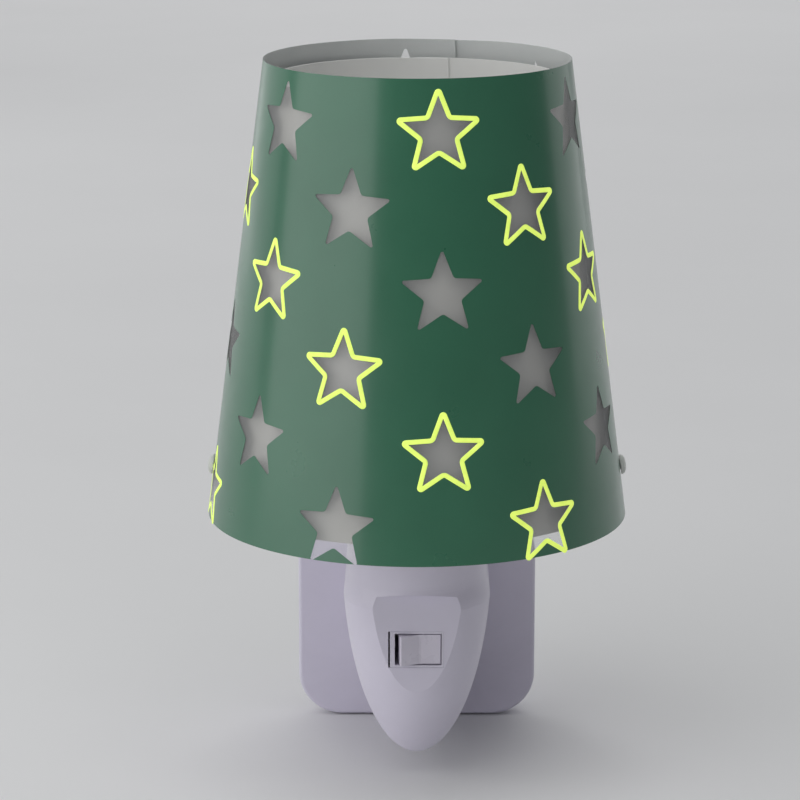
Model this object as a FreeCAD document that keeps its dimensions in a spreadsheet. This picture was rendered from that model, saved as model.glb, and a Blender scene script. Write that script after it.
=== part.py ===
import FreeCAD, Part
import math
import os
import re
import Sketcher
from FreeCAD import Vector, Placement, Rotation

os.makedirs("parts", exist_ok=True)

doc = FreeCAD.newDocument("night_light")

# ---------------------------------------------------------------- driving dimensions (mm)
# +Y points at the wall, +Z up, origin on the plug block's end face, midway between the pins.
DIMS = [
    ("lamp_y", -69.0), ("plate_w", 60.4), ("plate_h", 54.0), ("plate_low", 26.8), ("plate_corner", 11.0),
    ("front_y", -25.0), ("split_y", -20.0), ("back_y", -17.0), ("skin", 2.0), ("rim_round", 0.9),
    ("bullet_half", 18.1), ("bullet_deep", 18.1), ("bullet_tall", 51.2), ("bullet_mid", 30.2), ("shoulder_z", 19.0),
    ("neck_rad", 16.65), ("neck_top", 48.0), ("bridge_top", 34.0),
    ("facet_y", -83.2), ("arch_rad", 41.0), ("arch_top", 23.3),
    ("pin_gap", 19.0), ("pin_rad", 2.0), ("pin_len", 19.0), ("sleeve_len", 10.0), ("sleeve_rad", 1.75), ("core_rad", 1.4),
    ("block_half", 17.6), ("block_high", 6.9), ("block_slope", 10.6),
    ("boss_x", 11.6), ("boss_up", 24.0), ("boss_down", -16.0), ("boss_rad", 3.2), ("screw_rad", 1.4), ("screw_head", 2.8),
    ("holder_z", 34.0), ("holder_rad", 13.2), ("flange_rad", 14.4),
    ("rim_z", 40.0), ("rim_low", 50.0), ("rim_top", 36.02), ("shade_tall", 108.63), ("film", 0.5),
    ("liner_gap", 2.6), ("liner_film", 0.4), ("liner_low", 4.2), ("liner_top", 104.6),
    ("hub_hole", 13.5), ("hub_rad", 16.2), ("strip", 1.4), ("arm_half", 4.0), ("rivet_z", 11.1),
    ("bulb_z", 47.0), ("bulb_rad", 11.0),
    ("switch_z", 9.1), ("pivot_x", 0.35), ("pivot_y", -80.95), ("rock_half", 3.6), ("rock_rest", 12.0), ("blade_y", -75.15), ("blade_rest", -7.0),
    ("wire_rad", 0.9), ("wire_bend", 3.0),
]
sheet = doc.addObject("Spreadsheet::Sheet", "Dims")
for row, (word, value) in enumerate(DIMS, start=1):
    sheet.set("A%d" % row, word)
    sheet.set("B%d" % row, repr(value))
    sheet.setAlias("B%d" % row, word)
doc.recompute()
VAL = dict(DIMS)
WORDS = set(VAL)


def expr(text):
    text = str(text)
    return re.sub(r"[A-Za-z_]+", lambda g: "Dims." + g.group(0) if g.group(0) in WORDS else g.group(0), text)


def num(text):
    if isinstance(text, (int, float)):
        return float(text)
    total = doc.getObject("Probe")
    if total is None:
        total = doc.addObject("App::FeaturePython", "Probe")
        total.addProperty("App::PropertyFloat", "value")
    total.setExpression("value", expr(text))
    total.recompute()
    return float(total.value)


def place(obj, at, turn=None):
    if turn is not None:
        axis, angle = turn
        obj.Placement = Placement(Vector(0, 0, 0), Rotation(Vector(*axis), angle))
    base = [num(v) for v in at]
    obj.Placement = Placement(Vector(*base), obj.Placement.Rotation)
    for letter, v in zip("xyz", at):
        if isinstance(v, str):
            obj.setExpression("Placement.Base." + letter, expr(v))


def prim(kind, name, at=(0, 0, 0), turn=None, **sizes):
    obj = doc.addObject(kind, name)
    for prop, v in sizes.items():
        setattr(obj, prop, num(v))
        if isinstance(v, str):
            obj.setExpression(prop, expr(v))
    place(obj, at, turn)
    return obj


def box(name, x, y, z):
    """Box between (low, high) pairs."""
    def span(p):
        return "(%s) - (%s)" % (p[1], p[0])
    return prim("Part::Box", name, at=tuple(str(p[0]) for p in (x, y, z)), Length=span(x), Width=span(y), Height=span(z))


def cyl(name, at, rad, tall, turn=None):
    return prim("Part::Cylinder", name, at=at, turn=turn, Radius=rad, Height=tall)


def fuse(name, parts):
    obj = doc.addObject("Part::MultiFuse", name)
    obj.Shapes = parts
    return obj


def common(name, a, b):
    obj = doc.addObject("Part::MultiCommon", name)
    obj.Shapes = [a, b]
    return obj


def cut(name, a, b):
    obj = doc.addObject("Part::Cut", name)
    obj.Base = a
    obj.Tool = b
    return obj


def plane_of(body, role):
    return [f for f in body.Origin.OriginFeatures if f.Role == role][0]


def sketch_poly(body, name, role, pts):
    """Closed profile whose corner coordinates are bound to the sheet."""
    sk = body.newObject("Sketcher::SketchObject", name)
    sk.AttachmentSupport = [(plane_of(body, role), "")]
    sk.MapMode = "FlatFace"
    xy = [Vector(num(a), num(b), 0) for a, b in pts]
    n = len(xy)
    for i in range(n):
        sk.addGeometry(Part.LineSegment(xy[i], xy[(i + 1) % n]), False)
    for i in range(n):
        sk.addConstraint(Sketcher.Constraint("Coincident", i, 2, (i + 1) % n, 1))
    for i, (a, b) in enumerate(pts):
        for kind, axis, v in (("DistanceX", -2, a), ("DistanceY", -1, b)):
            value = num(v)
            if abs(value) < 1e-9:
                sk.addConstraint(Sketcher.Constraint("PointOnObject", i, 1, axis))
            else:
                if value > 0:
                    c = sk.addConstraint(Sketcher.Constraint(kind, -1, 1, i, 1, value))
                else:
                    c = sk.addConstraint(Sketcher.Constraint(kind, i, 1, -1, 1, -value))
                tag = "%s%d" % ("u" if kind == "DistanceX" else "v", i + 1)
                sk.renameConstraint(c, "corner_" + tag)
                if isinstance(v, str):
                    text = expr(v) if value > 0 else "-(%s)" % expr(v)
                    sk.setExpression("Constraints.corner_" + tag, text)
    return sk


def body_at(name, at=(0, 0, 0), turn=None):
    body = doc.addObject("PartDesign::Body", name)
    body.Label = name
    place(body, at, turn)
    return body


def turned(name, pts, at=(0, 0, 0), turn=None):
    """Revolved body: pts are (radius, height) pairs, in the body's own frame."""
    body = body_at(name, at, turn)
    sk = sketch_poly(body, name + "_profile", "XZ_Plane", pts)
    rev = body.newObject("PartDesign::Revolution", name + "_turn")
    rev.Profile = sk
    rev.ReferenceAxis = (sk, ["V_Axis"])
    rev.Angle = 360.0
    rev.Reversed = False
    doc.recompute()
    return body


def padded(name, role, pts, length, at=(0, 0, 0), turn=None, both=False):
    body = body_at(name, at, turn)
    sk = sketch_poly(body, name + "_profile", role, pts)
    pad = body.newObject("PartDesign::Pad", name + "_pad")
    pad.Profile = sk
    pad.Length = num(length)
    if isinstance(length, str):
        pad.setExpression("Length", expr(length))
    if both:
        pad.SideType = "Symmetric" if hasattr(pad, "SideType") else None
        if not hasattr(pad, "SideType"):
            pad.Midplane = True
    doc.recompute()
    return body


def round_edges(body, test, radius, name):
    tip = body.Tip
    picks = ["Edge%d" % (i + 1) for i, e in enumerate(tip.Shape.Edges) if test(e)]
    fil = body.newObject("PartDesign::Fillet", name)
    fil.Base = (tip, picks)
    fil.Radius = num(radius)
    if isinstance(radius, str):
        fil.setExpression("Radius", expr(radius))
    doc.recompute()
    return fil


def along_z(e):
    return e.Curve.TypeId == "Part::GeomLine" and abs(abs(e.tangentAt(e.FirstParameter).z) - 1) < 1e-6


LAYED = ((1, 0, 0), 90)       # body's own +Z laid along -Y
TOWALL = ((1, 0, 0), -90)     # body's own +Z laid along +Y
FINISHED = []


def finish(obj, name):
    obj.Label = name
    FINISHED.append((name, obj))


def plate(name, y_rear, thick, rear_round=None):
    """Rounded wall plate; grows from y_rear towards the room."""
    b = padded(name, "XY_Plane",
               [("-plate_w/2", "-plate_low"), ("plate_w/2", "-plate_low"), ("plate_w/2", "plate_h-plate_low"), ("-plate_w/2", "plate_h-plate_low")],
               thick, at=(0, y_rear, 0), turn=LAYED)
    round_edges(b, along_z, "plate_corner", name + "_corners")
    return b


# ---------------------------------------------------------------- front housing: wall plate, bridge, bullet and neck in one shell
front_plate = plate("front_plate_form", "split_y", "split_y-front_y")
top_z = front_plate.Tip.Shape.BoundBox.ZMax
round_edges(front_plate, lambda e: abs(e.BoundBox.ZMin - top_z) < 1e-4 and abs(e.BoundBox.ZMax - top_z) < 1e-4, "rim_round", "front_plate_rim")


def oval_bar(name, half, tall, y0, y1, mid="bullet_mid"):
    ring = prim("Part::Ellipse", name + "_ring", MajorRadius=tall, MinorRadius=half)
    # major axis along Z, normal along Y
    ring.Placement = Placement(Vector(0, num(y0), num(mid)), Rotation(Vector(0, 0, 1), Vector(1, 0, 0), Vector(0, 1, 0), "ZXY"))
    ring.setExpression("Placement.Base.y", expr(y0))
    ring.setExpression("Placement.Base.z", expr(mid))
    bar = doc.addObject("Part::Extrusion", name)
    bar.Base = ring
    bar.DirMode = "Custom"
    bar.Dir = Vector(0, 1, 0)
    bar.Solid = True
    bar.LengthFwd = num("(%s) - (%s)" % (y1, y0))
    bar.setExpression("LengthFwd", expr("(%s) - (%s)" % (y1, y0)))
    return bar


def bullet(name, half, deep, tall):
    obj = prim("Part::Ellipsoid", name, Radius1=tall, Radius2=half, Radius3=deep, at=(0, "lamp_y", "bullet_mid"))
    obj.Angle1 = -90
    obj.Angle2 = 90
    obj.Angle3 = 360
    return obj


lower = box("below_shoulder", ("-40", "40"), ("lamp_y-40", "front_y+2"), ("-60", "shoulder_z"))
web_low = common("web_low", oval_bar("web_bar", "bullet_half", "bullet_tall", "lamp_y", "front_y+1"), lower)
nose = common("nose", bullet("nose_form", "bullet_half", "bullet_deep", "bullet_tall"), box("below_shoulder_two", ("-40", "40"), ("lamp_y-40", "front_y+2"), ("-60", "shoulder_z")))
web_high = box("web_high", ("-neck_rad", "neck_rad"), ("lamp_y", "front_y+1"), ("shoulder_z-1", "bridge_top"))
neck = cyl("neck", (0, "lamp_y", "shoulder_z-1"), "neck_rad", "neck_top-shoulder_z+1")
COLLAR = [("neck_rad+0.98", "0"), ("neck_rad+0.93", "0.9"), ("neck_rad+0.78", "1.8"), ("neck_rad+0.57", "2.7"), ("neck_rad+0.35", "3.6"), ("neck_rad+0.16", "4.5"), ("neck_rad+0.05", "5.4"), ("neck_rad", "6.3")]
collar = turned("collar", [("0", "0")] + COLLAR + [("0", "6.3")], at=(0, "lamp_y", "shoulder_z"))
web_collar = padded("web_collar", "XZ_Plane", COLLAR + [("-(%s)" % a, b) for a, b in reversed(COLLAR)], "front_y+1-lamp_y", at=(0, "front_y+1", "shoulder_z"))
outside = fuse("housing_outside", [front_plate, web_low, nose, web_high, neck, collar, web_collar])

in_plate = box("in_plate", ("-plate_w/2+skin", "plate_w/2-skin"), ("front_y+skin", "split_y+1"), ("-plate_low+skin+6", "plate_h-plate_low-skin-6"))
in_plate2 = box("in_plate_two", ("-plate_w/2+skin+6", "plate_w/2-skin-6"), ("front_y+skin", "split_y+1"), ("-plate_low+skin", "plate_h-plate_low-skin"))
in_low = common("in_low", oval_bar("in_bar", "bullet_half-skin", "bullet_tall-skin", "lamp_y", "split_y+1"), box("in_low_limit", ("-40", "40"), ("lamp_y-40", "split_y+2"), ("-60", "shoulder_z-0.5")))
in_nose = common("in_nose", bullet("in_nose_form", "bullet_half-skin", "bullet_deep-skin", "bullet_tall-skin"), box("in_nose_limit", ("-40", "40"), ("facet_y+1.6", "lamp_y+1"), ("-60", "shoulder_z-0.5")))
in_high = box("in_high", ("-neck_rad+skin", "neck_rad-skin"), ("lamp_y", "split_y+1"), ("shoulder_z-1", "plate_h-plate_low-skin"))
in_high_room = box("in_high_room", ("-neck_rad+skin", "neck_rad-skin"), ("lamp_y", "front_y-1"), ("shoulder_z", "bridge_top-skin"))
in_throat = cyl("in_throat", (0, "lamp_y", "shoulder_z-1"), "holder_rad-0.9", "arch_top+4-shoulder_z")
in_neck = cyl("in_neck", (0, "lamp_y", "arch_top+1.9"), "flange_rad+0.2", "holder_z+3-arch_top-1.9")
in_top = cyl("in_top", (0, "lamp_y", "holder_z"), "holder_rad+0.1", "neck_top-holder_z+2")
inside = fuse("housing_inside", [in_plate, in_plate2, in_low, in_nose, in_high, in_high_room, in_throat, in_neck, in_top])
shell = cut("housing_shell", outside, inside)

bosses = []
for tag, bx, bz in (("a", "boss_x", "boss_up"), ("b", "-boss_x", "boss_up"), ("c", "0", "boss_down")):
    bosses.append(cyl("boss_" + tag, (bx, "split_y", bz), "boss_rad", "16", turn=LAYED))
bossed = fuse("housing_bossed", [shell] + bosses)
drills = [cyl("drill_" + tag, (bx, "split_y+1", bz), "screw_rad", "14", turn=LAYED)
          for tag, bx, bz in (("a", "boss_x", "boss_up"), ("b", "-boss_x", "boss_up"), ("c", "0", "boss_down"))]
facet = cyl("facet_form", (0, "facet_y", "arch_top-arch_rad"), "arch_rad", "20", turn=LAYED)
window = box("switch_window", ("-6.8", "6.45"), ("facet_y-2", "facet_y+4"), ("switch_z-4.5", "switch_z+4.5"))
tools = fuse("housing_tools", drills + [facet, window])
front_housing = cut("front_housing", bossed, tools)
finish(front_housing, "front_housing")

# ---------------------------------------------------------------- rear cover: plate, plug block and fork under the lampholder
rear_plate = plate("rear_plate_form", "back_y", "back_y-split_y")
block = padded("plug_block_form", "XY_Plane",
               [("-block_half", "-1.6"), ("-block_slope", "-block_high"), ("block_slope", "-block_high"), ("block_half", "-1.6"),
                ("block_half", "1.6"), ("block_slope", "block_high"), ("-block_slope", "block_high"), ("-block_half", "1.6")],
               "-back_y+1", at=(0, 0, 0), turn=LAYED)
round_edges(block, along_z, "1.5", "plug_block_corners")
fork = []
for tag, x0, x1 in (("l", "-8.1", "-4.4"), ("r", "4.4", "8.1")):
    fork.append(box("fork_arm_" + tag, (x0, x1), ("lamp_y-4", "front_y-3"), ("29.0", "31.5")))
    fork.append(box("fork_rise_" + tag, (x0, x1), ("front_y-6.5", "front_y-3"), ("21.5", "31.5")))
    fork.append(box("fork_root_" + tag, (x0, x1), ("front_y-6.5", "split_y+1"), ("21.5", "24.8")))
    fork.append(box("fork_post_" + tag, (x0, x1), ("lamp_y-4", "lamp_y+6"), ("31.0", "holder_z")))
rear_solid = fuse("rear_solid", [rear_plate, block] + fork)
rear_tools = []
for tag, bx, bz in (("a", "boss_x", "boss_up"), ("b", "-boss_x", "boss_up"), ("c", "0", "boss_down")):
    rear_tools.append(cyl("clear_" + tag, (bx, "back_y+1", bz), "screw_rad+0.2", "6", turn=LAYED))
    rear_tools.append(cyl("sink_" + tag, (bx, "back_y+1", bz), "screw_head+0.2", "2.8", turn=LAYED))
for tag, px in (("l", "-pin_gap/2"), ("r", "pin_gap/2")):
    rear_tools.append(cyl("pin_bore_" + tag, (px, "1", "0"), "sleeve_rad", "-split_y+4", turn=LAYED))
rear_cover = cut("rear_cover", rear_solid, fuse("rear_tools", rear_tools))
finish(rear_cover, "rear_cover")

# ---------------------------------------------------------------- plug pins with sleeves, screws
for side, px in (("left", "-pin_gap/2"), ("right", "pin_gap/2")):
    pin = turned("plug_pin_" + side,
                 [("0", "0"), ("1.1", "0"), ("1.1", "3.0"), ("sleeve_rad", "3.0"), ("sleeve_rad", "4.0"), ("core_rad", "4.0"), ("core_rad", "22.0+sleeve_len"),
                  ("pin_rad", "22.0+sleeve_len"), ("pin_rad", "22.0+pin_len-1.3"), ("pin_rad-0.35", "22.0+pin_len-0.55"), ("pin_rad-1.0", "22.0+pin_len-0.1"), ("0", "22.0+pin_len")],
                 at=(px, "-22.0", "0"), turn=TOWALL)
    finish(pin, "plug_pin_" + side)
    sleeve = turned("pin_sleeve_" + side, [("core_rad", "0"), ("sleeve_rad", "0"), ("sleeve_rad", "17.9+sleeve_len"), ("sleeve_rad-0.1", "18+sleeve_len"), ("core_rad", "18+sleeve_len")],
                    at=(px, "-18.0", "0"), turn=TOWALL)
    finish(sleeve, "pin_sleeve_" + side)

screws = []
for tag, bx, bz in (("a", "boss_x", "boss_up"), ("b", "-boss_x", "boss_up"), ("c", "0", "boss_down")):
    one = turned("screw_form_" + tag, [("0", "0.9"), ("0.5", "0"), ("screw_head-0.9", "0"), ("screw_head-0.2", "0.45"), ("screw_head", "1.1"), ("screw_head", "1.7"), ("screw_rad", "1.8"), ("screw_rad", "11.0"), ("0.3", "12.6"), ("0", "12.6")],
                 at=(bx, "back_y", bz), turn=LAYED)
    screws.append(one)
group = doc.addObject("Part::Compound", "housing_screws")
group.Links = screws
finish(group, "housing_screws")

# ---------------------------------------------------------------- lampholder
holder = turned("lampholder_body_form",
                [("1.6", "0"), ("flange_rad", "0"), ("flange_rad", "3"), ("holder_rad", "3"), ("holder_rad", "39.2"), ("holder_rad-0.8", "40"), ("10.2", "40"), ("9.6", "39.4"), ("9.6", "29.6"), ("8.45", "29.6"),
                 ("8.45", "11.6"), ("6.2", "11.6"), ("6.2", "4"), ("1.6", "4")],
                at=("0", "lamp_y", "holder_z"))
side_hole = cyl("holder_side_hole", ("-2.9", "lamp_y+3.6", "holder_z-1"), "1.1", "6")
lampholder_body = cut("lampholder_body", holder, side_hole)
finish(lampholder_body, "lampholder_body")

ribs_in = [("7.35", "0.6")]
ribs_out = [("7.75", "0.0")]
wave = []
for i in range(6):
    h = 1.2 + 2.6 * i
    wave += [("7.35", "%.2f" % h), ("7.85", "%.2f" % (h + 0.9)), ("7.85", "%.2f" % (h + 1.3)), ("7.35", "%.2f" % (h + 2.2))]
inner = wave + [("7.4", "17.4")]
outer = [("%.2f" % (float(a) + 0.45), b) for a, b in reversed(inner)]
shell_pts = [("4.6", "0.5"), ("7.35", "0.5")] + inner + outer + [("7.8", "0"), ("4.6", "0")]
lampholder_shell = turned("lampholder_shell", shell_pts, at=("0", "lamp_y", "holder_z+11.7"))
finish(lampholder_shell, "lampholder_shell")

leaf = padded("lampholder_contact", "XZ_Plane",
              [("-3.4", "0"), ("1.8", "0"), ("1.8", "0.4"), ("-2.3", "0.4"), ("1.6", "8.3"), ("2.6", "8.6"), ("2.6", "8.95"), ("1.2", "8.75"), ("-3.4", "0.6")],
              "3.6", at=("0", "lamp_y+1.8", "holder_z+4"))
finish(leaf, "lampholder_contact")

# ---------------------------------------------------------------- bulb
finish(turned("bulb_contact", [("0", "0"), ("1.2", "0.1"), ("2.0", "0.45"), ("2.4", "1.0"), ("2.4", "1.4"), ("0", "1.4")], at=("0", "lamp_y", "bulb_z")), "bulb_contact")
finish(turned("bulb_insulator", [("0", "0"), ("2.6", "0"), ("5.0", "1.7"), ("5.9", "2.4"), ("5.9", "3.0"), ("0", "3.0")], at=("0", "lamp_y", "bulb_z+1.4")), "bulb_insulator")
crest = []
for i in range(5):
    h = 0.8 + 2.8 * i
    crest += [("6.35", "%.2f" % h), ("6.9", "%.2f" % (h + 1.0)), ("6.9", "%.2f" % (h + 1.4)), ("6.35", "%.2f" % (h + 2.4))]
cap_out = [("5.5", "0")] + crest + [("6.5", "15.2"), ("7.0", "15.6"), ("7.0", "16.4")]
cap_in = [("6.55", "16.4"), ("5.8", "15.4"), ("5.8", "1.0"), ("5.2", "0.4")]
finish(turned("bulb_cap", cap_out + cap_in, at=("0", "lamp_y", "bulb_z+4.4")), "bulb_cap")
finish(turned("bulb_housing",
              [("6.5", "0"), ("7.3", "0"), ("8.1", "3.6"), ("8.7", "7.4"), ("9.4", "10.4"), ("10.4", "14.2"), ("bulb_rad", "18.2"), ("bulb_rad", "21.4"), ("bulb_rad-1.0", "21.4"), ("bulb_rad-1.0", "18.4"),
               ("9.2", "14.4"), ("8.2", "10.4"), ("7.5", "7.4"), ("6.5", "2.0")],
              at=("0", "lamp_y", "bulb_z+20.8")), "bulb_housing")
dome_out = [("%.3f" % (10.9 * math.cos(math.radians(a))), "%.3f" % (8.5 + 15.0 * math.sin(math.radians(a)))) for a in range(0, 90, 9)]
dome_in = [("%.3f" % (9.9 * math.cos(math.radians(a))), "%.3f" % (8.5 + 14.0 * math.sin(math.radians(a)))) for a in range(81, -1, -9)]
finish(turned("bulb_diffuser", [("9.9", "0"), ("10.9", "0")] + dome_out + [("0", "23.5"), ("0", "22.5")] + dome_in, at=("0", "lamp_y", "bulb_z+42.2")), "bulb_diffuser")
finish(turned("led_board", [("0", "0"), ("9.7", "0"), ("9.7", "1.2"), ("0", "1.2")], at=("0", "lamp_y", "bulb_z+39.9")), "led_board")
chips = [box("chip_%d" % i, ("%.2f" % (5.0 * math.cos(math.radians(45 + 90 * i)) - 1.4), "%.2f" % (5.0 * math.cos(math.radians(45 + 90 * i)) + 1.4)),
             ("lamp_y+%.2f" % (5.0 * math.sin(math.radians(45 + 90 * i)) - 1.4 + 20) + "-20", "lamp_y+%.2f" % (5.0 * math.sin(math.radians(45 + 90 * i)) + 1.4 + 20) + "-20"),
             ("bulb_z+41.1", "bulb_z+41.8")) for i in range(4)]
chip_group = doc.addObject("Part::Compound", "led_chips")
chip_group.Links = chips
finish(chip_group, "led_chips")

# ---------------------------------------------------------------- shade: printed outer film, white liner, carrier strip, rivets
slope = (VAL["rim_low"] - VAL["rim_top"]) / VAL["shade_tall"]
lean = math.degrees(math.atan(slope))


def cone_skin(name, z0, z1, inset, thick):
    """Conical film ring between two heights above the lower rim."""
    def rad(z, extra):
        return "rim_low-(rim_low-rim_top)/shade_tall*(%s)-(%s)" % (z, extra)
    return turned(name, [(rad(z0, inset + "+" + thick), "0"), (rad(z0, inset), "0"), (rad(z1, inset), "(%s)-(%s)" % (z1, z0)), (rad(z1, inset + "+" + thick), "(%s)-(%s)" % (z1, z0))],
                  at=("0", "lamp_y", "rim_z+(%s)" % z0))


film_skin = cone_skin("film_form", "0", "shade_tall", "0", "film")
liner_skin = cone_skin("liner_form", "liner_low", "liner_top", "liner_gap", "liner_film")


def rivet_place(obj, side, out):
    """Rivet axis square to the film, out = distance outward from the film's face."""
    a = math.radians(lean)
    rad = VAL["rim_low"] - slope * VAL["rivet_z"]
    n = Vector(side * math.cos(a), 0, math.sin(a))
    p = Vector(side * rad, VAL["lamp_y"], VAL["rim_z"] + VAL["rivet_z"]) + n * out
    obj.Placement = Placement(p, Rotation(Vector(0, 0, 1), n))


def rivet_drill(name):
    pair = []
    for tag, side in (("l", -1), ("r", 1)):
        d = cyl(name + "_" + tag, (0, 0, 0), "1.25", "12")
        rivet_place(d, side, -9)
        pair.append(d)
    return fuse(name, pair)


shade_outer = cut("shade_outer", film_skin, rivet_drill("film_drill"))
finish(shade_outer, "shade_outer")
shade_liner = cut("shade_liner", liner_skin, rivet_drill("liner_drill"))
finish(shade_liner, "shade_liner")

tab_in = 45.52
tab_top = tab_in - slope * 8.4
strip_pts = [("-%.3f" % (tab_in), "0"), ("%.3f" % (tab_in), "0"), ("%.3f" % tab_top, "8.4"), ("%.3f" % (tab_top - 1.2), "8.4"), ("%.3f" % (tab_in - 1.4), "strip"),
             ("-%.3f" % (tab_in - 1.4), "strip"), ("-%.3f" % (tab_top - 1.2), "8.4"), ("-%.3f" % tab_top, "8.4")]
strip = padded("strip_form", "XZ_Plane", strip_pts, "2*arm_half", at=("0", "lamp_y+arm_half", "neck_top"))
hub = cyl("hub_form", ("0", "lamp_y", "neck_top"), "hub_rad", "strip")
hub_lip = cyl("hub_lip", ("0", "lamp_y", "neck_top"), "hub_hole+1.2", "4.2")
hub_cutter = cyl("hub_cutter", ("0", "lamp_y", "neck_top-1"), "hub_hole", "8")
reliefs = []
for tag, side in (("l", -1), ("r", 1)):
    relief = cyl("head_relief_" + tag, (0, 0, 0), "2.15", "1.4")
    rivet_place(relief, side, -6.03)
    reliefs.append(relief)
shade_carrier = cut("shade_carrier", fuse("carrier_solid", [strip, hub, hub_lip]), fuse("carrier_tools", [hub_cutter, rivet_drill("carrier_drill")] + reliefs))
finish(shade_carrier, "shade_carrier")

rivets, washers = [], []
for tag, side in (("l", -1), ("r", 1)):
    rv = turned("rivet_form_" + tag, [("0", "0"), ("2.0", "0"), ("2.0", "0.7"), ("1.2", "0.7"), ("1.2", "5.41"), ("2.4", "5.41"), ("2.4", "5.71"), ("2.1", "6.26"), ("1.4", "6.61"), ("0", "6.76")])
    rivet_place(rv, side, -5.36)
    rivets.append(rv)
    ws = turned("washer_form_" + tag, [("1.3", "0"), ("2.5", "0"), ("2.5", "1.9"), ("1.3", "1.9")])
    rivet_place(ws, side, -2.48)
    washers.append(ws)
for name, items in (("shade_rivets", rivets), ("rivet_spacers", washers)):
    g = doc.addObject("Part::Compound", name)
    g.Links = items
    finish(g, name)

# ---------------------------------------------------------------- rocker switch behind the facet
case_solid = box("case_box", ("-6.4", "6.4"), ("facet_y+0.05", "-70.5"), ("switch_z-4.45", "switch_z+4.45"))
case_tools = [box("case_room", ("-5.24", "5.9"), ("facet_y-2", "-71.4"), ("switch_z-3.92", "switch_z+3.92")),
              cyl("case_pivot", ("pivot_x", "pivot_y", "switch_z-5"), "0.75", "10"),
              box("case_slot_one", ("pivot_x-0.5", "pivot_x+0.5"), ("-72", "-70"), ("switch_z-1.2", "switch_z+1.2")),
              box("case_slot_two", ("pivot_x+3.1", "pivot_x+4.1"), ("-72", "-70"), ("switch_z-1.2", "switch_z+1.2"))]
switch_frame = cut("switch_frame", case_solid, fuse("case_tools", case_tools))
finish(switch_frame, "switch_frame")

rocker_block = padded("rocker_block", "XY_Plane",
                      [("-4.95", "-2.6"), ("-4.88", "-2.82"), ("-4.68", "-2.92"), ("-0.3", "-2.03"), ("0.3", "-2.03"), ("4.68", "-2.92"), ("4.88", "-2.82"), ("4.95", "-2.6"), ("4.75", "0.4"), ("1.7", "1.2"), ("-1.7", "1.2"), ("-4.75", "0.4")],
                      "2*rock_half", at=("0", "0", "-rock_half"))
rocker_stem = cyl("rocker_stem", ("0", "1.0", "0"), "1.5", "2.2", turn=TOWALL)
rocker_axle = cyl("rocker_axle", ("0", "0", "-4.35"), "0.7", "8.7")
rocker_bore = cyl("rocker_bore", ("0", "0.5", "0"), "1.05", "3", turn=TOWALL)
switch_rocker = cut("switch_rocker", fuse("rocker_solid", [rocker_block, rocker_stem, rocker_axle]), rocker_bore)


def on_pivot(obj, keep=None):
    """Carries a piece drawn about the rocker's pivot to its rest angle."""
    obj.Placement = Placement(Vector(VAL["pivot_x"], VAL["pivot_y"], VAL["switch_z"]), Rotation(Vector(0, 0, 1), VAL["rock_rest"]))
    obj.setExpression("Placement.Base.x", expr("pivot_x"))
    obj.setExpression("Placement.Base.y", expr("pivot_y"))
    obj.setExpression("Placement.Base.z", expr("switch_z"))
    obj.setExpression("Placement.Rotation.Angle", expr("rock_rest"))


on_pivot(switch_rocker)
finish(switch_rocker, "switch_rocker")
plunger_form = turned("plunger_form", [("0", "0"), ("0.95", "0"), ("0.95", "1.9"), ("0.7", "2.4"), ("0.35", "2.65"), ("0", "2.7")], at=("0", "2.7", "0"), turn=TOWALL)
plunger = fuse("switch_plunger", [plunger_form, cyl("plunger_peg", ("0", "2.3", "0"), "0.5", "0.6", turn=TOWALL)])
on_pivot(plunger)
finish(plunger, "switch_plunger")

coil = Part.makeHelix(0.5, 1.8, 0.72)
coil_wire = Part.Wire(coil.Edges)
ring = Part.makePolygon([Vector(0.6, 0, -0.11), Vector(0.84, 0, -0.11), Vector(0.84, 0, 0.11), Vector(0.6, 0, 0.11), Vector(0.6, 0, -0.11)])
coil_solid = coil_wire.makePipeShell([ring], True, True)
spring = doc.addObject("Part::Feature", "switch_spring")
spring.Shape = coil_solid
tilt = Rotation(Vector(0, 0, 1), VAL["rock_rest"])
spring.Placement = Placement(Vector(VAL["pivot_x"], VAL["pivot_y"], VAL["switch_z"]) + tilt.multVec(Vector(0, 0.62, 0)), tilt.multiply(Rotation(Vector(1, 0, 0), -90)))
finish(spring, "switch_spring")

blade = padded("switch_blade", "XY_Plane",
               [("-4.2", "-0.15"), ("4.2", "-0.15"), ("4.2", "0.15"), ("0.6", "0.15"), ("0.25", "0.0"), ("-0.25", "0.0"), ("-0.6", "0.15"), ("-4.2", "0.15")],
               "2.4")
blade.Placement = Placement(Vector(VAL["pivot_x"], VAL["blade_y"], VAL["switch_z"] - 1.2), Rotation(Vector(0, 0, 1), VAL["blade_rest"]))
blade.setExpression("Placement.Base.x", expr("pivot_x"))
blade.setExpression("Placement.Base.y", expr("blade_y"))
blade.setExpression("Placement.Rotation.Angle", expr("blade_rest"))
finish(blade, "switch_blade")
finish(fuse("terminal_common", [box("common_post", ("pivot_x-0.4", "pivot_x+0.4"), ("blade_y+0.5", "-66.5"), ("switch_z-1.1", "switch_z+1.1")),
                                prim("Part::Wedge", "common_edge", at=("pivot_x-0.4", "blade_y", "switch_z-1.1"), Xmin="0", Ymin="0", Zmin="0", X2min="0.3", Z2min="0", Xmax="0.8", Ymax="0.3", Zmax="2.2", X2max="0.5", Z2max="2.2")]), "terminal_common")
wedge = doc.getObject("common_edge")
wedge.setExpression("Placement.Base.y", expr("blade_y+0.55"))
wedge.setExpression("Placement.Base.z", None)
wedge.Placement = Placement(Vector(VAL["pivot_x"] - 0.4, VAL["blade_y"] + 0.55, VAL["switch_z"] + 1.1), Rotation(Vector(1, 0, 0), 180))
wedge.setExpression("Placement.Base.x", expr("pivot_x-0.4"))
wedge.setExpression("Placement.Base.z", expr("switch_z+1.1"))
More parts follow.
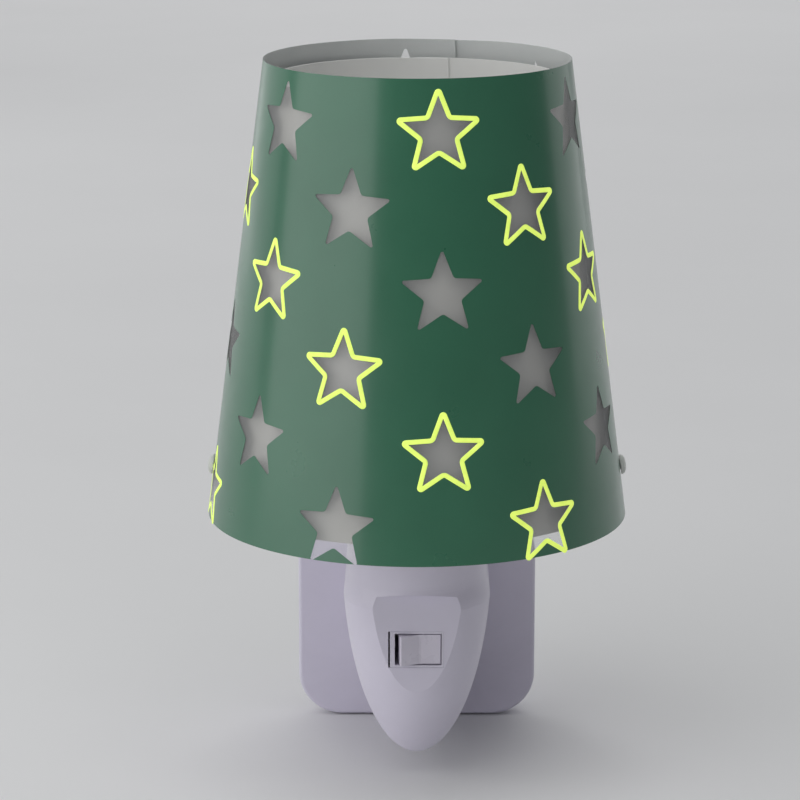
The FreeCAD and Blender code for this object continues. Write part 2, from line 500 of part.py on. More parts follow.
finish(fuse("terminal_switched", [box("switched_post", ("pivot_x+3.2", "pivot_x+4.0"), ("blade_y+1.2", "-66.5"), ("switch_z-1.1", "switch_z+1.1")),
                                  box("switched_pad", ("pivot_x+3.0", "pivot_x+4.2"), ("blade_y+0.8", "blade_y+1.3"), ("switch_z-1.1", "switch_z+1.1"))]), "terminal_switched")


# ---------------------------------------------------------------- inner wires: straight runs joined by tangent arcs
def wire(name, pts):
    bend = VAL["wire_bend"]
    pts = [Vector(*[num(c) for c in p]) for p in pts]
    edges, last, radii = [], pts[0], []
    for i in range(1, len(pts) - 1):
        a = (pts[i - 1] - pts[i]).normalize()
        b = (pts[i + 1] - pts[i]).normalize()
        half = a.getAngle(b) / 2
        back = bend / math.tan(half)
        p, q = pts[i] + a * back, pts[i] + b * back
        mid_dir = (a + b).normalize()
        centre = pts[i] + mid_dir * (bend / math.sin(half))
        m = centre - mid_dir * bend
        if (p - last).Length < 0.01:
            raise ValueError("no straight run before a bend of " + name)
        edges.append(Part.LineSegment(last, p).toShape())
        edges.append(Part.Arc(p, m, q).toShape())
        radii.append(edges[-1].Curve.Radius)
        last = q
    edges.append(Part.LineSegment(last, pts[-1]).toShape())
    path = Part.Wire(edges)
    d = (pts[1] - pts[0]).normalize()
    disc = Part.Wire([Part.Circle(pts[0], d, VAL["wire_rad"]).toShape()])
    solid = path.makePipeShell([disc], True, False)
    want = path.Length * math.pi * VAL["wire_rad"] ** 2
    print("%s length %.1f mm, bends %s, volume %.1f of %.1f" % (name, path.Length, ["%.2f" % r for r in radii], solid.Volume, want))
    obj = doc.addObject("Part::Feature", name)
    obj.Shape = solid
    finish(obj, name)


wire("wire_live", [("-pin_gap/2", "-22.1", "0"), ("-pin_gap/2", "-30", "0"), ("-pin_gap/2", "-46", "-4"), ("pivot_x", "-58", "switch_z"), ("pivot_x", "-66.4", "switch_z")])
wire("wire_switched", [("pivot_x+3.6", "-66.4", "switch_z"), ("pivot_x+3.6", "-60.8", "switch_z"), ("0", "-60.8", "26"), ("0", "lamp_y", "29.5"), ("0", "lamp_y", "37.9")])
wire("wire_neutral", [("pin_gap/2", "-22.1", "0"), ("pin_gap/2", "-40", "0"), ("12.5", "-46", "20"), ("-2.9", "-50", "26"), ("-2.9", "lamp_y+3.6", "27.2"), ("-2.9", "lamp_y+3.6", "45.6")])

# ---------------------------------------------------------------- checks and export
doc.recompute()
bad = []
for obj in doc.Objects:
    if "Invalid" in obj.State or "Error" in obj.State:
        bad.append((obj.Name, obj.State))
for name, obj in FINISHED:
    shape = obj.Shape
    if shape.isNull() or not shape.isValid() or not shape.Solids:
        bad.append((name, "null or not valid"))
if bad:
    raise RuntimeError("objects in error: %s" % bad)
for name, obj in FINISHED:
    shape = obj.Shape
    b = shape.BoundBox
    print("%-20s solids %d  vol %9.1f  x %.1f..%.1f  y %.1f..%.1f  z %.1f..%.1f" % (name, len(shape.Solids), shape.Volume, b.XMin, b.XMax, b.YMin, b.YMax, b.ZMin, b.ZMax))
    shape.exportStep("parts/%s.step" % name)
print("nodes", len(FINISHED))
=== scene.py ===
import math

import bpy
import numpy as np
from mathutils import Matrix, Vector, geometry


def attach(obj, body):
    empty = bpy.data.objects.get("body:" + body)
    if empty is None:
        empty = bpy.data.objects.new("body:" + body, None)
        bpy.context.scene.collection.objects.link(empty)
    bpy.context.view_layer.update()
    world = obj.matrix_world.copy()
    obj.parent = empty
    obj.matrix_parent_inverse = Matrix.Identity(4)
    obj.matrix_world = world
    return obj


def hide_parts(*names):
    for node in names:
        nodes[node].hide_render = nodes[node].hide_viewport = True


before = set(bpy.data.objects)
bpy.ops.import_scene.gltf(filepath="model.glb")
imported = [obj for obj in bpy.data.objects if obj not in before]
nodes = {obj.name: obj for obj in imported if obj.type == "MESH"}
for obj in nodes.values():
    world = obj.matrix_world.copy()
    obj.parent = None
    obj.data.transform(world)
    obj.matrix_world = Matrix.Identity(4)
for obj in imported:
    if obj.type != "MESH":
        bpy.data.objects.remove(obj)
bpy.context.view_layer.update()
MM = 0.001

# ------------------------------------------------------------------ node material helpers


def material(name):
    m = bpy.data.materials.new(name)
    m.use_nodes = True
    nt = m.node_tree
    bsdf = nt.nodes["Principled BSDF"]
    return m, nt, bsdf


def add(nt, kind, **props):
    n = nt.nodes.new(kind)
    for k, v in props.items():
        if k.startswith("in_"):
            key = k[3:]
            key = int(key) if key.isdigit() else key.replace("_", " ")
            n.inputs[key].default_value = v
        else:
            setattr(n, k, v)
    return n


def coords(nt, scale=(1, 1, 1)):
    tc = add(nt, "ShaderNodeTexCoord")
    mp = add(nt, "ShaderNodeMapping")
    mp.inputs["Scale"].default_value = scale
    nt.links.new(tc.outputs["Object"], mp.inputs["Vector"])
    return mp.outputs["Vector"]


def noise(nt, vec, scale, detail=4.0, rough=0.55, distortion=0.0):
    n = add(nt, "ShaderNodeTexNoise")
    n.inputs["Scale"].default_value = scale
    n.inputs["Detail"].default_value = detail
    n.inputs["Roughness"].default_value = rough
    n.inputs["Distortion"].default_value = distortion
    nt.links.new(vec, n.inputs["Vector"])
    return n.outputs["Fac"]


def ramp(nt, fac, stops):
    r = add(nt, "ShaderNodeValToRGB")
    el = r.color_ramp.elements
    el[0].position, el[0].color = stops[0][0], (*stops[0][1], 1)
    el[1].position, el[1].color = stops[-1][0], (*stops[-1][1], 1)
    for p, c in stops[1:-1]:
        e = el.new(p)
        e.color = (*c, 1)
    nt.links.new(fac, r.inputs["Fac"])
    return r.outputs["Color"]


def grey(v):
    return (v, v, v)


def bump(nt, fac, strength, distance, below=None):
    b = add(nt, "ShaderNodeBump")
    b.inputs["Strength"].default_value = strength
    b.inputs["Distance"].default_value = distance
    nt.links.new(fac, b.inputs["Height"])
    if below is not None:
        nt.links.new(below, b.inputs["Normal"])
    return b.outputs["Normal"]


def tone(c, k):
    return tuple(min(1.0, max(0.0, v * k)) for v in c)


def moulded(name, colour, rough=0.36, grain=2600.0, spread=0.06, grain_depth=0.00002, wave=0.00003, specular=0.5, coat=0.0, sub=0.0):
    """Injection-moulded plastic: slight flow clouding, fine spark-eroded grain, soft unevenness, edge rub."""
    m, nt, b = material(name)
    vec = coords(nt)
    cloud = noise(nt, vec, 38.0, 5.0, 0.6, 0.4)
    col = ramp(nt, cloud, [(0.25, tone(colour, 1 - spread)), (0.5, colour), (0.78, tone(colour, 1 + spread * 0.6))])
    geo = add(nt, "ShaderNodeNewGeometry")
    rub = ramp(nt, geo.outputs["Pointiness"], [(0.47, grey(0.0)), (0.56, grey(1.0))])
    mix = add(nt, "ShaderNodeMix", data_type="RGBA", blend_type="MIX")
    nt.links.new(rub, mix.inputs[0])
    nt.links.new(col, mix.inputs[6])
    mix.inputs[7].default_value = (*tone(colour, 1.06), 1)
    fine = add(nt, "ShaderNodeMix", data_type="RGBA", blend_type="MIX")
    fine.inputs[0].default_value = 0.35
    nt.links.new(col, fine.inputs[6])
    nt.links.new(mix.outputs[2], fine.inputs[7])
    nt.links.new(fine.outputs[2], b.inputs["Base Color"])
    g = noise(nt, vec, grain, 2.0, 0.5)
    u = noise(nt, vec, 55.0, 2.0, 0.5)
    rg = ramp(nt, noise(nt, vec, 120.0, 4.0, 0.6), [(0.3, grey(rough - 0.05)), (0.7, grey(rough + 0.06))])
    nt.links.new(rg, b.inputs["Roughness"])
    n1 = bump(nt, u, 0.5, wave)
    n2 = bump(nt, g, 0.35, grain_depth, n1)
    nt.links.new(n2, b.inputs["Normal"])
    b.inputs["Specular IOR Level"].default_value = specular
    if coat:
        b.inputs["Coat Weight"].default_value = coat
        b.inputs["Coat Roughness"].default_value = 0.12
    if sub:
        b.inputs["Subsurface Weight"].default_value = sub
        b.inputs["Subsurface Radius"].default_value = (0.004, 0.004, 0.004)
        b.inputs["Subsurface Scale"].default_value = 1.0
    return m


def metal(name, colour, rough=0.28, brushed=(1, 1, 1), scale=900.0):
    m, nt, b = material(name)
    vec = coords(nt, brushed)
    n = noise(nt, vec, scale, 3.0, 0.6)
    nt.links.new(ramp(nt, n, [(0.3, tone(colour, 0.86)), (0.7, tone(colour, 1.08))]), b.inputs["Base Color"])
    nt.links.new(ramp(nt, n, [(0.25, grey(rough - 0.06)), (0.75, grey(rough + 0.1))]), b.inputs["Roughness"])
    b.inputs["Metallic"].default_value = 1.0
    nt.links.new(bump(nt, n, 0.3, 0.00001), b.inputs["Normal"])
    return m


LAVENDER = (0.72, 0.685, 0.80)
SHELL = moulded("shell_white", LAVENDER, rough=0.34, sub=0.0)
ROCKER = moulded("rocker_white", (0.74, 0.70, 0.80), rough=0.28)
BEZEL = moulded("bezel_white", (0.70, 0.67, 0.77), rough=0.36)
HOLDER = moulded("holder_white", (0.80, 0.80, 0.77), rough=0.42)
CARRIER = moulded("carrier_white", (0.78, 0.78, 0.75), rough=0.45)
RIVET = moulded("rivet_white", (0.62, 0.64, 0.60), rough=0.4)
SLEEVE = moulded("sleeve_white", (0.76, 0.74, 0.80), rough=0.5)
BULBW = moulded("bulb_white", (0.82, 0.82, 0.79), rough=0.3)
OPAL = moulded("diffuser_opal", (0.84, 0.83, 0.79), rough=0.42, grain=1800.0, spread=0.02)
BOARD = moulded("board_white", (0.76, 0.80, 0.76), rough=0.3)
CHIP = moulded("chip_yellow", (0.80, 0.62, 0.14), rough=0.25)
BLACKG = moulded("insulator_black", (0.02, 0.02, 0.025), rough=0.12, coat=0.5)
BROWN = moulded("wire_brown_skin", (0.16, 0.075, 0.035), rough=0.42)
BLUE = moulded("wire_blue_skin", (0.03, 0.10, 0.36), rough=0.42)
NICKEL = metal("pin_nickel", (0.70, 0.69, 0.66), 0.2, (1, 0.2, 1))
ZINC = metal("screw_zinc", (0.62, 0.63, 0.64), 0.34)
BRASS = metal("contact_brass", (0.72, 0.52, 0.22), 0.3)
STEEL = metal("spring_wire", (0.55, 0.55, 0.56), 0.3)
ALU = metal("cap_aluminium", (0.68, 0.68, 0.69), 0.26, (1, 1, 3))

PAINT = {
    "rear_cover": SHELL, "front_housing": SHELL, "plug_pin_left": NICKEL, "plug_pin_right": NICKEL,
    "pin_sleeve_left": SLEEVE, "pin_sleeve_right": SLEEVE, "housing_screws": ZINC,
    "lampholder_body": HOLDER, "lampholder_shell": BRASS, "lampholder_contact": BRASS,
    "switch_frame": BEZEL, "switch_rocker": ROCKER, "switch_plunger": BEZEL, "switch_spring": STEEL, "switch_blade": BRASS,
    "terminal_common": BRASS, "terminal_switched": BRASS, "wire_live": BROWN, "wire_switched": BROWN, "wire_neutral": BLUE,
    "bulb_cap": ALU, "bulb_insulator": BLACKG, "bulb_contact": BRASS, "bulb_housing": BULBW, "bulb_diffuser": OPAL,
    "led_board": BOARD, "led_chips": CHIP, "shade_carrier": CARRIER, "shade_rivets": RIVET, "rivet_spacers": CARRIER,
}
for node, mat in PAINT.items():
    ob = nodes[node]
    for s in ob.material_slots:
        s.material = mat
    if not ob.material_slots:
        ob.data.materials.append(mat)

# ------------------------------------------------------------------ shade sheets on the developed cone
AY = -69.0            # lamp axis
RIM = 40.0            # lower rim height
R_LOW, R_TOP, TALL = 50.0, 36.02, 108.63
ALPHA = math.atan((R_LOW - R_TOP) / TALL)
SA, CA = math.sin(ALPHA), math.cos(ALPHA)
RHO0 = R_LOW / SA     # slant distance from the apex to the lower rim


def rho_at(z):
    """Slant distance from the apex for a height above the lower rim."""
    return RHO0 - z / CA


def cone_point(theta, rho, inset, lift=0.0):
    """theta in degrees from the front, + to the right; inset is square to the film."""
    r = rho * SA - inset * CA
    z = (RHO0 - rho) * CA - inset * SA + lift
    t = math.radians(theta)
    return Vector((r * math.sin(t) * MM, (AY - r * math.cos(t)) * MM, (RIM + z) * MM))


def cone_normal(theta):
    t = math.radians(theta)
    return Vector((CA * math.sin(t), -CA * math.cos(t), SA))


def smooth(x):
    x = min(1.0, max(0.0, x))
    return x * x * (3 - 2 * x)


def rounded_star(big, ratio, tip_r, dent_r, step=0.22):
    """Closed path of a five-pointed star with rounded tips and dents; also its unit outward normals."""
    corners = []
    for i in range(10):
        a = math.radians(90 + 36 * i)
        r = big if i % 2 == 0 else big * ratio
        corners.append(np.array([r * math.cos(a), r * math.sin(a)]))
    pts, nrm = [], []
    for i in range(10):
        p, c, q = corners[i - 1], corners[i], corners[(i + 1) % 10]
        a = (p - c) / np.linalg.norm(p - c)
        b = (q - c) / np.linalg.norm(q - c)
        half = math.acos(float(np.clip(a @ b, -1, 1))) / 2
        rad = tip_r if i % 2 == 0 else dent_r
        back = rad / math.tan(half)
        mid = (a + b) / np.linalg.norm(a + b)
        o = c + mid * rad / math.sin(half)
        s, e = c + a * back, c + b * back
        a0 = math.atan2(*(s - o)[::-1])
        a1 = math.atan2(*(e - o)[::-1])
        turn = (a1 - a0 + math.pi) % (2 * math.pi) - math.pi
        n = max(5, int(abs(turn) * rad / 0.11))
        sign = 1.0 if i % 2 == 0 else -1.0
        for k in range(n + 1):
            t = a0 + turn * k / n
            d = np.array([math.cos(t), math.sin(t)])
            pts.append(o + rad * d)
            nrm.append(sign * d)
        nxt = corners[(i + 1) % 10]
        rad2 = tip_r if (i + 1) % 2 == 0 else dent_r
        c2 = nxt
        a2 = (c - c2) / np.linalg.norm(c - c2)
        b2 = (corners[(i + 2) % 10] - c2) / np.linalg.norm(corners[(i + 2) % 10] - c2)
        half2 = math.acos(float(np.clip(a2 @ b2, -1, 1))) / 2
        s2 = c2 + a2 * rad2 / math.tan(half2)
        run = np.linalg.norm(s2 - e)
        m = max(1, int(run / 0.7))
        side = nrm[-1]
        for k in range(1, m):
            pts.append(e + (s2 - e) * k / m)
            nrm.append(side)
    return np.array(pts), np.array(nrm)


STAR, STAR_N = rounded_star(10.25, 0.43, 0.4, 0.95)
RING, RING_N = rounded_star(9.9, 0.43, 0.34, 0.95)     # centre line of the glowing outlines
LINE = 0.54           # half the outline's width
ROWS = [(97.5, 7.3, 60.9), (79.9, 37.1, 59.4), (61.9, 7.8, 60.0), (44.1, 37.0, 59.4), (25.9, 7.4, 59.8), (8.6, 36.8, 59.2)]   # height, first star, pitch in degrees


def star_list():
    out = []
    for row, (z, first, pitch) in enumerate(ROWS):
        glow_parity = (0, 0, 1, 1, 0, 0)[row]
        for k in range(-3, 3):
            out.append((first + pitch * k, z - 0.9, (k % 2) == glow_parity))
    return out


def on_sheet(theta_c, z_c, xy):
    """A flat star point as (theta, rho) on the cone, without stretch."""
    rc = rho_at(z_c)
    x, y = xy[:, 0], xy[:, 1]
    rho = np.sqrt((rc - y) ** 2 + x ** 2)
    phi = np.arctan2(x, rc - y)
    return np.stack([theta_c + np.degrees(phi / SA), rho], -1)


def build_skin(name, tris, layers, spec, mats, edge_mat=None):
    """Closed skin from 2-D triangles: spec = (outer inset function, inner inset function, lift function); layers is
    not used.
    """
    pts, tri = tris
    n = len(pts)
    outer = [cone_point(t, r, spec[0](t), spec[2](t, r)) for t, r in pts]
    inner = [cone_point(t, r, spec[1](t), spec[2](t, r)) for t, r in pts]
    verts = outer + inner
    faces = [tuple(t) for t in tri] + [tuple(n + i for i in reversed(t)) for t in tri]
    mat_index = [0] * len(tri) + [1] * len(tri)
    seen = {}
    for a, b, c in tri:
        for e in ((a, b), (b, c), (c, a)):
            key = (min(e), max(e))
            seen.setdefault(key, []).append(e)
    rims = [v[0] for v in seen.values() if len(v) == 1]
    normals = [cone_normal(t) for t, r in pts]
    normals = normals + [-v for v in normals]
    loops = []
    for f in faces:
        loops += [normals[i] for i in f]
    for a, b in rims:
        faces.append((b, a, n + a, n + b))
        mat_index.append(2 if len(mats) > 2 else 1)
        va, vb, vc = verts[b], verts[a], verts[n + a]
        fn = (vb - va).cross(vc - vb)
        fn = fn.normalized() if fn.length > 0 else Vector((0, 0, 1))
        loops += [fn] * 4
    me = bpy.data.meshes.new(name)
    me.from_pydata([tuple(v) for v in verts], [], faces)
    for m in mats:
        me.materials.append(m)
    me.polygons.foreach_set("material_index", mat_index)
    me.polygons.foreach_set("use_smooth", [True] * len(faces))
    me.update()
    me.normals_split_custom_set([tuple(v) for v in loops])
    ob = bpy.data.objects.new(name, me)
    bpy.context.scene.collection.objects.link(ob)
    return ob


def triangulate(lo, hi, rho_lo, rho_hi, holes, dt=1.0, dr=3.4):
    """Sheet between two angles and two slant distances, with holes cut out; triangles wind outward."""
    K = 0.8   # mm per degree, so triangles stay near equilateral
    verts, edges = [], []
    nt_ = int(round((hi - lo) / dt))
    nr = int(round((rho_hi - rho_lo) / dr))
    ts = np.linspace(lo, hi, nt_ + 1)
    rs = np.linspace(rho_lo, rho_hi, nr + 1)
    ring = [(t, rho_lo) for t in ts] + [(hi, r) for r in rs[1:]] + [(t, rho_hi) for t in ts[::-1][1:]] + [(lo, r) for r in rs[::-1][1:-1]]
    verts += ring
    edges += [(i, (i + 1) % len(ring)) for i in range(len(ring))]
    polys = []
    for h in holes:
        base = len(verts)
        verts += [tuple(p) for p in h]
        edges += [(base + i, base + (i + 1) % len(h)) for i in range(len(h))]
        polys.append(h)

    def inside(p, poly):
        x, y = p
        px, py = poly[:, 0], poly[:, 1]
        qx, qy = np.roll(px, -1), np.roll(py, -1)
        c = ((py > y) != (qy > y)) & (x < (qx - px) * (y - py) / (qy - py + 1e-15) + px)
        return bool(c.sum() % 2)

    boxes = [(h[:, 0].min() - 1, h[:, 0].max() + 1, h[:, 1].min() - 1, h[:, 1].max() + 1) for h in polys]
    for i in range(1, nt_):
        for j in range(1, nr):
            p = (ts[i], rs[j] + (0.5 * dr if i % 2 and j < nr - 1 else 0.0))
            ok = True
            for h, bx in zip(polys, boxes):
                if bx[0] < p[0] < bx[1] and bx[2] < p[1] < bx[3]:
                    d = np.min(np.hypot((h[:, 0] - p[0]) * K, h[:, 1] - p[1]))
                    if d < 0.45 or inside(p, h):
                        ok = False
                        break
            if ok:
                verts.append(p)
    flat = [Vector((t * K, r)) for t, r in verts]
    out = geometry.delaunay_2d_cdt(flat, edges, [], 1, 1e-5)
    pts = np.array([[v.x / K, v.y] for v in out[0]])
    tri = []
    for f in out[2]:
        if len(f) != 3:
            continue
        c = pts[list(f)].mean(axis=0)
        drop = False
        for h, bx in zip(polys, boxes):
            if bx[0] < c[0] < bx[1] and bx[2] < c[1] < bx[3] and inside(c, h):
                drop = True
                break
        if not drop:
            a, b, d = (pts[i] for i in f)
            area = (b[0] - a[0]) * (d[1] - a[1]) - (b[1] - a[1]) * (d[0] - a[0])
            if abs(area) < 1e-9:
                continue
            f = list(f)
            # theta right, rho down the film: an outward face winds clockwise in (theta, rho)
            tri.append(f if area < 0 else f[::-1])
    used = sorted({i for f in tri for i in f})
    back = {o: n for n, o in enumerate(used)}
    return pts[used], [[back[i] for i in f] for f in tri]


SHEET_LO, SHEET_HI = -195.0, 173.5


def tuck(t):
    """The end that lies inside at the seam steps inwards by a film's thickness."""
    return 0.46 * smooth((-168.0 - t) / 18.0)


def flap(t, r):
    """The outer end sits a touch lower than the inner one."""
    return -0.28 * smooth((t - 143.0) / 30.0)


stars = star_list()
holes = [on_sheet(t, z, RING if glow else STAR) for t, z, glow in stars]

# printed skin: green outside, pale backing inside
m_green, nt, b = material("print_green")
vec = coords(nt)
GREEN = (0.036, 0.158, 0.088)
cloud = noise(nt, vec, 26.0, 5.0, 0.6, 0.3)
fine = noise(nt, vec, 1900.0, 3.0, 0.6)
base = ramp(nt, cloud, [(0.25, tone(GREEN, 0.90)), (0.5, GREEN), (0.8, tone(GREEN, 1.10))])
speck = add(nt, "ShaderNodeMix", data_type="RGBA", blend_type="MULTIPLY")
speck.inputs[0].default_value = 0.5
nt.links.new(base, speck.inputs[6])
nt.links.new(ramp(nt, fine, [(0.2, grey(0.93)), (0.8, grey(1.05))]), speck.inputs[7])
nt.links.new(speck.outputs[2], b.inputs["Base Color"])
nt.links.new(ramp(nt, noise(nt, vec, 70.0, 4.0, 0.6), [(0.3, grey(0.27)), (0.7, grey(0.36))]), b.inputs["Roughness"])
b.inputs["Specular IOR Level"].default_value = 0.6
b.inputs["Coat Weight"].default_value = 0.55
b.inputs["Coat Roughness"].default_value = 0.16
wav = noise(nt, coords(nt, (1, 1, 0.35)), 45.0, 2.0, 0.4)
nt.links.new(bump(nt, fine, 0.10, 0.00001, bump(nt, wav, 0.5, 0.00005)), b.inputs["Normal"])

m_back, nt, b = material("print_backing")
vec = coords(nt)
nt.links.new(ramp(nt, noise(nt, vec, 40.0, 4.0), [(0.3, (0.76, 0.79, 0.78)), (0.7, (0.82, 0.84, 0.83))]), b.inputs["Base Color"])
nt.links.new(ramp(nt, noise(nt, vec, 90.0, 4.0), [(0.3, grey(0.3)), (0.7, grey(0.42))]), b.inputs["Roughness"])

m_film, nt, b = material("film_clear")
vec = coords(nt)
nt.links.new(ramp(nt, noise(nt, vec, 60.0, 3.0), [(0.3, (0.70, 0.72, 0.72)), (0.7, (0.80, 0.81, 0.80))]), b.inputs["Base Color"])
nt.links.new(ramp(nt, noise(nt, vec, 80.0, 4.0), [(0.3, grey(0.10)), (0.7, grey(0.18))]), b.inputs["Roughness"])
b.inputs["Alpha"].default_value = 0.16
b.inputs["Specular IOR Level"].default_value = 0.8

m_liner, nt, b = material("liner_white")
vec = coords(nt)
WHITE = (0.86, 0.86, 0.835)
nt.links.new(ramp(nt, noise(nt, vec, 30.0, 5.0, 0.6), [(0.25, tone(WHITE, 0.96)), (0.75, tone(WHITE, 1.02))]), b.inputs["Base Color"])
nt.links.new(ramp(nt, noise(nt, vec, 90.0, 4.0), [(0.3, grey(0.46)), (0.7, grey(0.6))]), b.inputs["Roughness"])
nt.links.new(bump(nt, noise(nt, coords(nt, (1, 1, 0.3)), 60.0, 3.0), 0.4, 0.00004), b.inputs["Normal"])

# outer face of the white liner: painted shade, a darker grey standing in for the shade that falls behind the green
# film
m_liner_painted_shade, nt, b = material("liner_outer_face_painted_shade")
vec = coords(nt)
LINER_SHADE_GREY = (0.50, 0.485, 0.45)
nt.links.new(ramp(nt, noise(nt, vec, 30.0, 5.0, 0.6), [(0.25, tone(LINER_SHADE_GREY, 0.95)), (0.75, tone(LINER_SHADE_GREY, 1.03))]), b.inputs["Base Color"])
nt.links.new(ramp(nt, noise(nt, vec, 90.0, 4.0), [(0.3, grey(0.46)), (0.7, grey(0.6))]), b.inputs["Roughness"])
nt.links.new(bump(nt, noise(nt, coords(nt, (1, 1, 0.3)), 60.0, 3.0), 0.4, 0.00004), b.inputs["Normal"])

m_glow, nt, b = material("glow_ink")
vec = coords(nt)
GLOW = (0.52, 0.68, 0.16)
grain = noise(nt, vec, 1500.0, 3.0, 0.6)
nt.links.new(ramp(nt, grain, [(0.3, tone(GLOW, 0.86)), (0.7, tone(GLOW, 1.08))]), b.inputs["Base Color"])
b.inputs["Roughness"].default_value = 0.55
nt.links.new(ramp(nt, noise(nt, vec, 420.0, 3.0), [(0.25, (0.42, 0.54, 0.070)), (0.6, (0.53, 0.65, 0.095)), (0.85, (0.64, 0.73, 0.13))]), b.inputs["Emission Color"])
b.inputs["Emission Strength"].default_value = 1.0
nt.links.new(bump(nt, grain, 0.4, 0.00002), b.inputs["Normal"])

rho_hi, rho_lo = RHO0, rho_at(TALL)
pts, tri = triangulate(SHEET_LO, SHEET_HI, rho_lo + 0.02, rho_hi - 0.02, holes)
print_skin = build_skin("shade_print", (pts, tri), None,
                        (lambda t: 0.10 + tuck(t), lambda t: 0.15 + tuck(t), flap), [m_green, m_back, m_green])


def plain_sheet(name, lo, hi, z0, z1, inset, thick, mats, dt=1.0, dr=4.0, tuck_fn=tuck, lift=flap):
    r1, r0 = rho_at(z0), rho_at(z1)
    nt_, nr = int(round((hi - lo) / dt)), int(round((r1 - r0) / dr))
    pts, tri = [], []
    for i in range(nt_ + 1):
        for j in range(nr + 1):
            pts.append((lo + (hi - lo) * i / nt_, r0 + (r1 - r0) * j / nr))
    for i in range(nt_):
        for j in range(nr):
            a, b_, c, d = i * (nr + 1) + j, (i + 1) * (nr + 1) + j, (i + 1) * (nr + 1) + j + 1, i * (nr + 1) + j + 1
            tri.append([a, d, c, b_])
    pts = np.array(pts)
    n = len(pts)
    outer = [cone_point(t, r, inset + tuck_fn(t), lift(t, r)) for t, r in pts]
    inner = [cone_point(t, r, inset + thick + tuck_fn(t), lift(t, r)) for t, r in pts]
    verts = outer + inner
    faces = [tuple(f) for f in tri] + [tuple(n + k for k in reversed(f)) for f in tri]
    normals = [cone_normal(t) for t, r in pts] + [-cone_normal(t) for t, r in pts]
    loops = [normals[k] for f in faces for k in f]
    ring = [i * (nr + 1) for i in range(nt_ + 1)] + [nt_ * (nr + 1) + j for j in range(1, nr + 1)] + [i * (nr + 1) + nr for i in range(nt_ - 1, -1, -1)] + [j for j in range(nr - 1, 0, -1)]
    idx = [0] * len(tri) + [len(mats) - 1] * len(tri)
    for k in range(len(ring)):
        a, b_ = ring[k], ring[(k + 1) % len(ring)]
        faces.append((a, b_, n + b_, n + a))
        fn = (verts[b_] - verts[a]).cross(verts[n + b_] - verts[b_])
        loops += [fn.normalized()] * 4
        idx.append(len(mats) - 1)
    me = bpy.data.meshes.new(name)
    me.from_pydata([tuple(v) for v in verts], [], faces)
    for m in mats:
        me.materials.append(m)
    me.polygons.foreach_set("material_index", idx)
    me.polygons.foreach_set("use_smooth", [True] * len(faces))
    me.update()
    me.normals_split_custom_set([tuple(v) for v in loops])
    ob = bpy.data.objects.new(name, me)
    bpy.context.scene.collection.objects.link(ob)
    return ob


film = plain_sheet("shade_film", SHEET_LO, SHEET_HI, 0.02, TALL - 0.02, 0.16, 0.27, [m_film])

liner_tuck = lambda t: 0.42 * smooth((-166.0 - t) / 12.0)
# the liner's outer face takes the painted-shade grey, its inner face the liner white
liner = plain_sheet("shade_liner_sheet", -193.0, 181.0, 4.2, 104.6, 2.62, 0.36, [m_liner_painted_shade, m_liner], tuck_fn=liner_tuck, lift=lambda t, r: 0.0)

# raised glowing outlines
verts, faces, loops = [], [], []
PROF = [(-1.0, 0.0), (-0.86, 0.055), (-0.5, 0.075), (0.0, 0.08), (0.5, 0.075), (0.86, 0.055), (1.0, 0.0)]
for t, z, glow in stars:
    if not glow:
        continue
    rails = []
    for u, hgt in PROF:
        xy = RING + RING_N * LINE * u
        p2 = on_sheet(t, z, xy)
        rails.append([cone_point(a, r, 0.10 + tuck(a) - hgt, flap(a, r)) for a, r in p2])
    under = [[cone_point(a, r, 0.155 + tuck(a), flap(a, r)) for a, r in on_sheet(t, z, RING + RING_N * LINE * u)] for u in (1.0, -1.0)]
    rails += under
    base_i = len(verts)
    m = len(RING)
    for rail in rails:
        verts += rail
    for k in range(len(rails)):
        k2 = (k + 1) % len(rails)
        for i in range(m):
            j = (i + 1) % m
            faces.append((base_i + k * m + i, base_i + k * m + j, base_i + k2 * m + j, base_i + k2 * m + i))
            loops.append(1 if k >= len(PROF) - 1 else 0)
me = bpy.data.meshes.new("glow_outlines")
me.from_pydata([tuple(v) for v in verts], [], faces)
me.materials.append(m_glow)
me.materials.append(m_back)
me.polygons.foreach_set("material_index", loops)
me.polygons.foreach_set("use_smooth", [i == 0 for i in loops])
me.update()
outlines = bpy.data.objects.new("glow_outlines", me)
bpy.context.scene.collection.objects.link(outlines)

for ob in (print_skin, film, outlines):
    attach(ob, "shade")
    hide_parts("shade_outer")
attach(liner, "shade")
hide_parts("shade_liner")

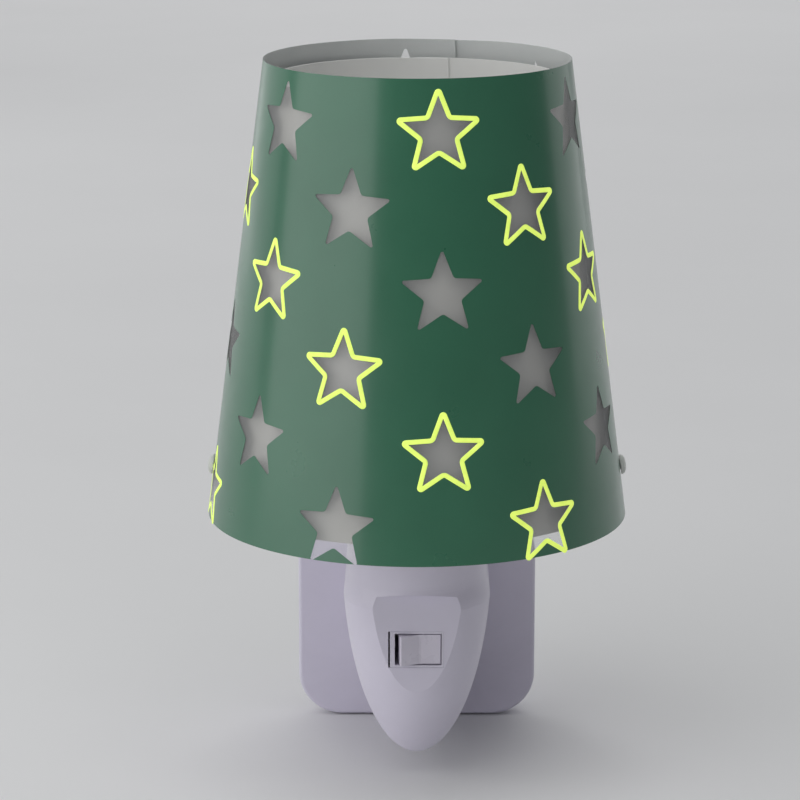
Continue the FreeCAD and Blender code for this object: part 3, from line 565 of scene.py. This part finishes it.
# ------------------------------------------------------------------ floor, light, camera
FLOOR = -0.0272
me = bpy.data.meshes.new("floor")
S = 3.0
me.from_pydata([(-S, -S, FLOOR), (S, -S, FLOOR), (S, S, FLOOR), (-S, S, FLOOR)], [], [(0, 1, 2, 3)])
m_floor, nt, b = material("floor_pale")
vec = coords(nt)
nt.links.new(ramp(nt, noise(nt, vec, 6.0, 4.0), [(0.3, grey(0.78)), (0.7, grey(0.80))]), b.inputs["Base Color"])
b.inputs["Roughness"].default_value = 0.7
me.materials.append(m_floor)
floor = bpy.data.objects.new("floor", me)
bpy.context.scene.collection.objects.link(floor)


def softbox(name, azimuth, elevation, distance, wide, tall, power, target=(0, -0.069, 0.08), colour=(1, 1, 1)):
    """Azimuth 0 is in front of the lamp, + to the right as the camera sees it."""
    light = bpy.data.lights.new(name, "AREA")
    light.shape = "RECTANGLE"
    light.size, light.size_y = wide, tall
    light.energy = power
    light.color = colour
    ob = bpy.data.objects.new(name, light)
    a, e = math.radians(azimuth), math.radians(elevation)
    t = Vector(target)
    p = t + Vector((math.sin(a) * math.cos(e), -math.cos(a) * math.cos(e), math.sin(e))) * distance
    ob.location = p
    ob.rotation_euler = (t - p).to_track_quat("-Z", "Y").to_euler()
    bpy.context.scene.collection.objects.link(ob)
    return ob


softbox("key_left", -63, 13, 0.95, 1.3, 1.1, 6.0)
softbox("back_left", -132, 14, 1.05, 1.0, 1.0, 1.7)
softbox("back_right", 126, 14, 1.05, 0.8, 1.0, 1.3)
softbox("top_soft", 0, 66, 1.0, 1.0, 1.0, 4.6)
softbox("floor_wash", 180, 62, 1.1, 2.4, 1.4, 13.0, target=(0, 1.15, -0.03))
world = bpy.data.worlds.new("studio")
world.use_nodes = True
bg = world.node_tree.nodes["Background"]
bg.inputs["Color"].default_value = (0.85, 0.9, 1.0, 1)
bg.inputs["Strength"].default_value = 0.10
bpy.context.scene.world = world

cam = bpy.data.cameras.new("camera")
cam.sensor_fit = "HORIZONTAL"
cam.sensor_width = 36.0
cam.lens = 3280.27 / 800 * 36.0
cam.clip_start, cam.clip_end = 0.01, 20
cob = bpy.data.objects.new("camera", cam)
cob.location = (-0.08 * MM, (AY - 759.86) * MM, (RIM + 207.84) * MM)
cob.rotation_euler = (math.radians(90) - 0.23387, 0.0, 0.00524)
bpy.context.scene.collection.objects.link(cob)
bpy.context.scene.camera = cob
bpy.context.scene.view_settings.view_transform = "Standard"
